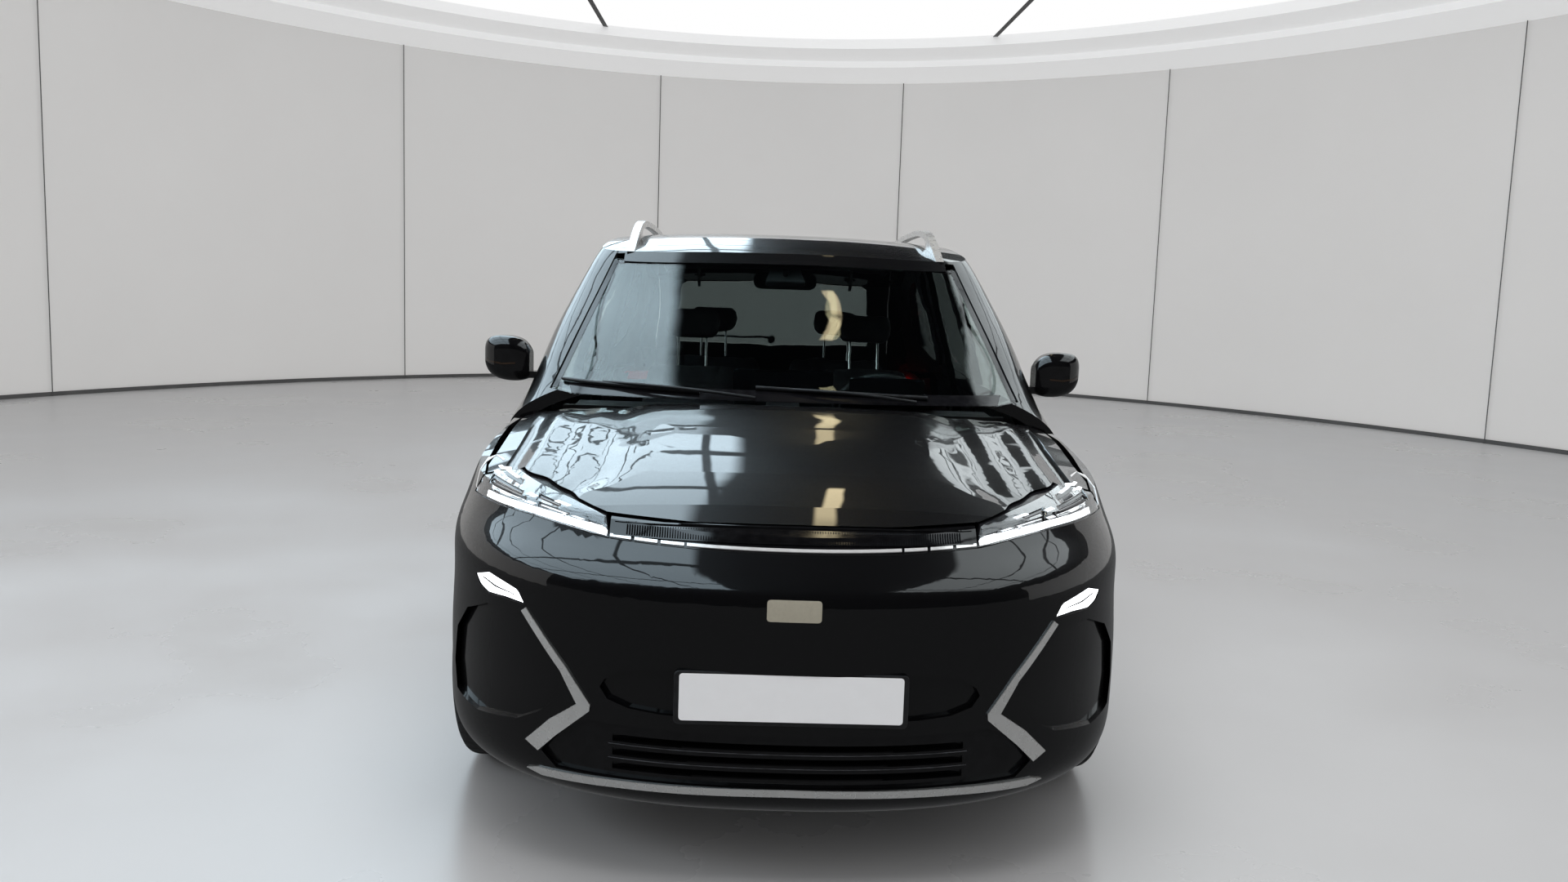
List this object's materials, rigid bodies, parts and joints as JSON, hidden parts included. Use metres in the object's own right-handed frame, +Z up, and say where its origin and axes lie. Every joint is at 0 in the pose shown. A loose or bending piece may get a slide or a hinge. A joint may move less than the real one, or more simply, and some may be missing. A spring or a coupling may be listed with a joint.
{
  "type": "plug-in hybrid suv",
  "caption": "Five-seat sport utility body with opening doors, bonnet, tailgate and filler flaps, steered front wheels and turning wheels.",
  "frame": {"origin": "on the ground under the middle of the car's length and width", "axes": "nose towards -Y, the car's left side towards +X, +Z up"},
  "size_m": [2.12, 4.7405, 1.6849],
  "materials": {
    "black paint": "gloss",
    "gloss black": "gloss",
    "black plastic": "matte",
    "satin silver": "satin",
    "clear glass": "gloss",
    "dark glass": "gloss",
    "lamp": "gloss",
    "red lamp": "gloss",
    "tyre": "matte",
    "alloy": "satin",
    "cast metal": "matte",
    "structure": "satin",
    "seat cover": "matte",
    "cabin plastic": "matte"
  },
  "bodies": {
    "body": {"side_frame_left": "black paint", "side_frame_right": "black paint", "quarter_panel_left": "black paint", "quarter_panel_right": "black paint", "roof_panel": "black paint", "fixed_glass": "clear glass", "fender_left": "black paint", "fender_right": "black paint", "front_bumper": "black paint", "headlamps": "lamp", "grilles": "gloss black", "bumper_trim": "satin silver", "tail_lamps": "red lamp", "rear_bumper": "black paint", "wheel_liners": "black plastic", "front_subframe": "structure", "rear_axle": "structure", "underbody": "structure", "front_structure": "structure", "engine_block": "cast metal", "battery_pack": "black plastic", "roof_rails": "satin silver", "dashboard": "cabin plastic", "front_seats": "seat cover", "rear_bench": "seat cover"},
    "bonnet": {"bonnet": "black paint"},
    "charge_flap": {"charge_flap": "black paint"},
    "fuel_flap": {"fuel_flap": "black paint"},
    "tailgate": {"tailgate": "black paint", "tailgate_glass": "dark glass", "light_bar": "red lamp"},
    "steering_wheel": {"steering_wheel": "cabin plastic"},
    "knuckle_left": {"knuckle_left": "cast metal"},
    "door_front_left": {"door_front_left": "black paint", "door_glass_front_left": "clear glass", "mirror_left": "gloss black"},
    "door_rear_left": {"door_rear_left": "black paint", "door_glass_rear_left": "dark glass"},
    "wheel_front_left": {"tyre_front_left": "tyre", "rim_front_left": "alloy"},
    "wheel_rear_left": {"tyre_rear_left": "tyre", "rim_rear_left": "alloy"},
    "knuckle_right": {"knuckle_right": "cast metal"},
    "door_front_right": {"door_front_right": "black paint", "door_glass_front_right": "clear glass", "mirror_right": "gloss black"},
    "door_rear_right": {"door_rear_right": "black paint", "door_glass_rear_right": "dark glass"},
    "wheel_front_right": {"tyre_front_right": "tyre", "rim_front_right": "alloy"},
    "wheel_rear_right": {"tyre_rear_right": "tyre", "rim_rear_right": "alloy"}
  },
  "joints": [
    {"name": "steer_left", "type": "hinge", "parent": "body", "child": "knuckle_left", "pos_m": [0.745, -1.445, 0.359], "axis": [0, 0, 1], "range_deg": [-35, 35]},
    {"name": "wheel_front_left", "type": "hinge", "parent": "knuckle_left", "child": "wheel_front_left", "pos_m": [0.805, -1.445, 0.359], "axis": [1, 0, 0], "continuous": true},
    {"name": "wheel_rear_left", "type": "hinge", "parent": "body", "child": "wheel_rear_left", "pos_m": [0.805, 1.31, 0.359], "axis": [1, 0, 0], "continuous": true},
    {"name": "door_front_left", "type": "hinge", "parent": "body", "child": "door_front_left", "pos_m": [0.895, -0.845, 0.65], "axis": [0, 0, -1], "range_deg": [0, 68]},
    {"name": "door_rear_left", "type": "hinge", "parent": "body", "child": "door_rear_left", "pos_m": [0.895, 0.205, 0.65], "axis": [0, 0, -1], "range_deg": [0, 72]},
    {"name": "steer_right", "type": "hinge", "parent": "body", "child": "knuckle_right", "pos_m": [-0.745, -1.445, 0.359], "axis": [0, 0, 1], "range_deg": [-35, 35]},
    {"name": "wheel_front_right", "type": "hinge", "parent": "knuckle_right", "child": "wheel_front_right", "pos_m": [-0.805, -1.445, 0.359], "axis": [1, 0, 0], "continuous": true},
    {"name": "wheel_rear_right", "type": "hinge", "parent": "body", "child": "wheel_rear_right", "pos_m": [-0.805, 1.31, 0.359], "axis": [1, 0, 0], "continuous": true},
    {"name": "door_front_right", "type": "hinge", "parent": "body", "child": "door_front_right", "pos_m": [-0.895, -0.845, 0.65], "axis": [0, 0, 1], "range_deg": [0, 68]},
    {"name": "door_rear_right", "type": "hinge", "parent": "body", "child": "door_rear_right", "pos_m": [-0.895, 0.205, 0.65], "axis": [0, 0, 1], "range_deg": [0, 72]},
    {"name": "steering_wheel_turn", "type": "hinge", "parent": "body", "child": "steering_wheel", "pos_m": [0.37, -0.545, 0.95], "axis": [0, 0.9061, 0.423], "range_deg": [-540, 540]},
    {"name": "bonnet_lift", "type": "hinge", "parent": "body", "child": "bonnet", "pos_m": [0, -1.062, 0.985], "axis": [-1, 0, 0], "range_deg": [0, 50]},
    {"name": "tailgate_lift", "type": "hinge", "parent": "body", "child": "tailgate", "pos_m": [0, 1.8, 1.478], "axis": [1, 0, 0], "range_deg": [0, 80]},
    {"name": "charge_flap_swing", "type": "hinge", "parent": "body", "child": "charge_flap", "pos_m": [0.936, 1.66, 0.895], "axis": [0.1644, 0, -0.9864], "range_deg": [0, 95]},
    {"name": "fuel_flap_swing", "type": "hinge", "parent": "body", "child": "fuel_flap", "pos_m": [-0.936, 1.66, 0.895], "axis": [0.1644, 0, 0.9864], "range_deg": [0, 95]}
  ],
  "couplings": [
    {"joint": "steer_right", "follows": "steer_left", "ratio": 1},
    {"joint": "steering_wheel_turn", "follows": "steer_left", "ratio": 14.5}
  ]
}
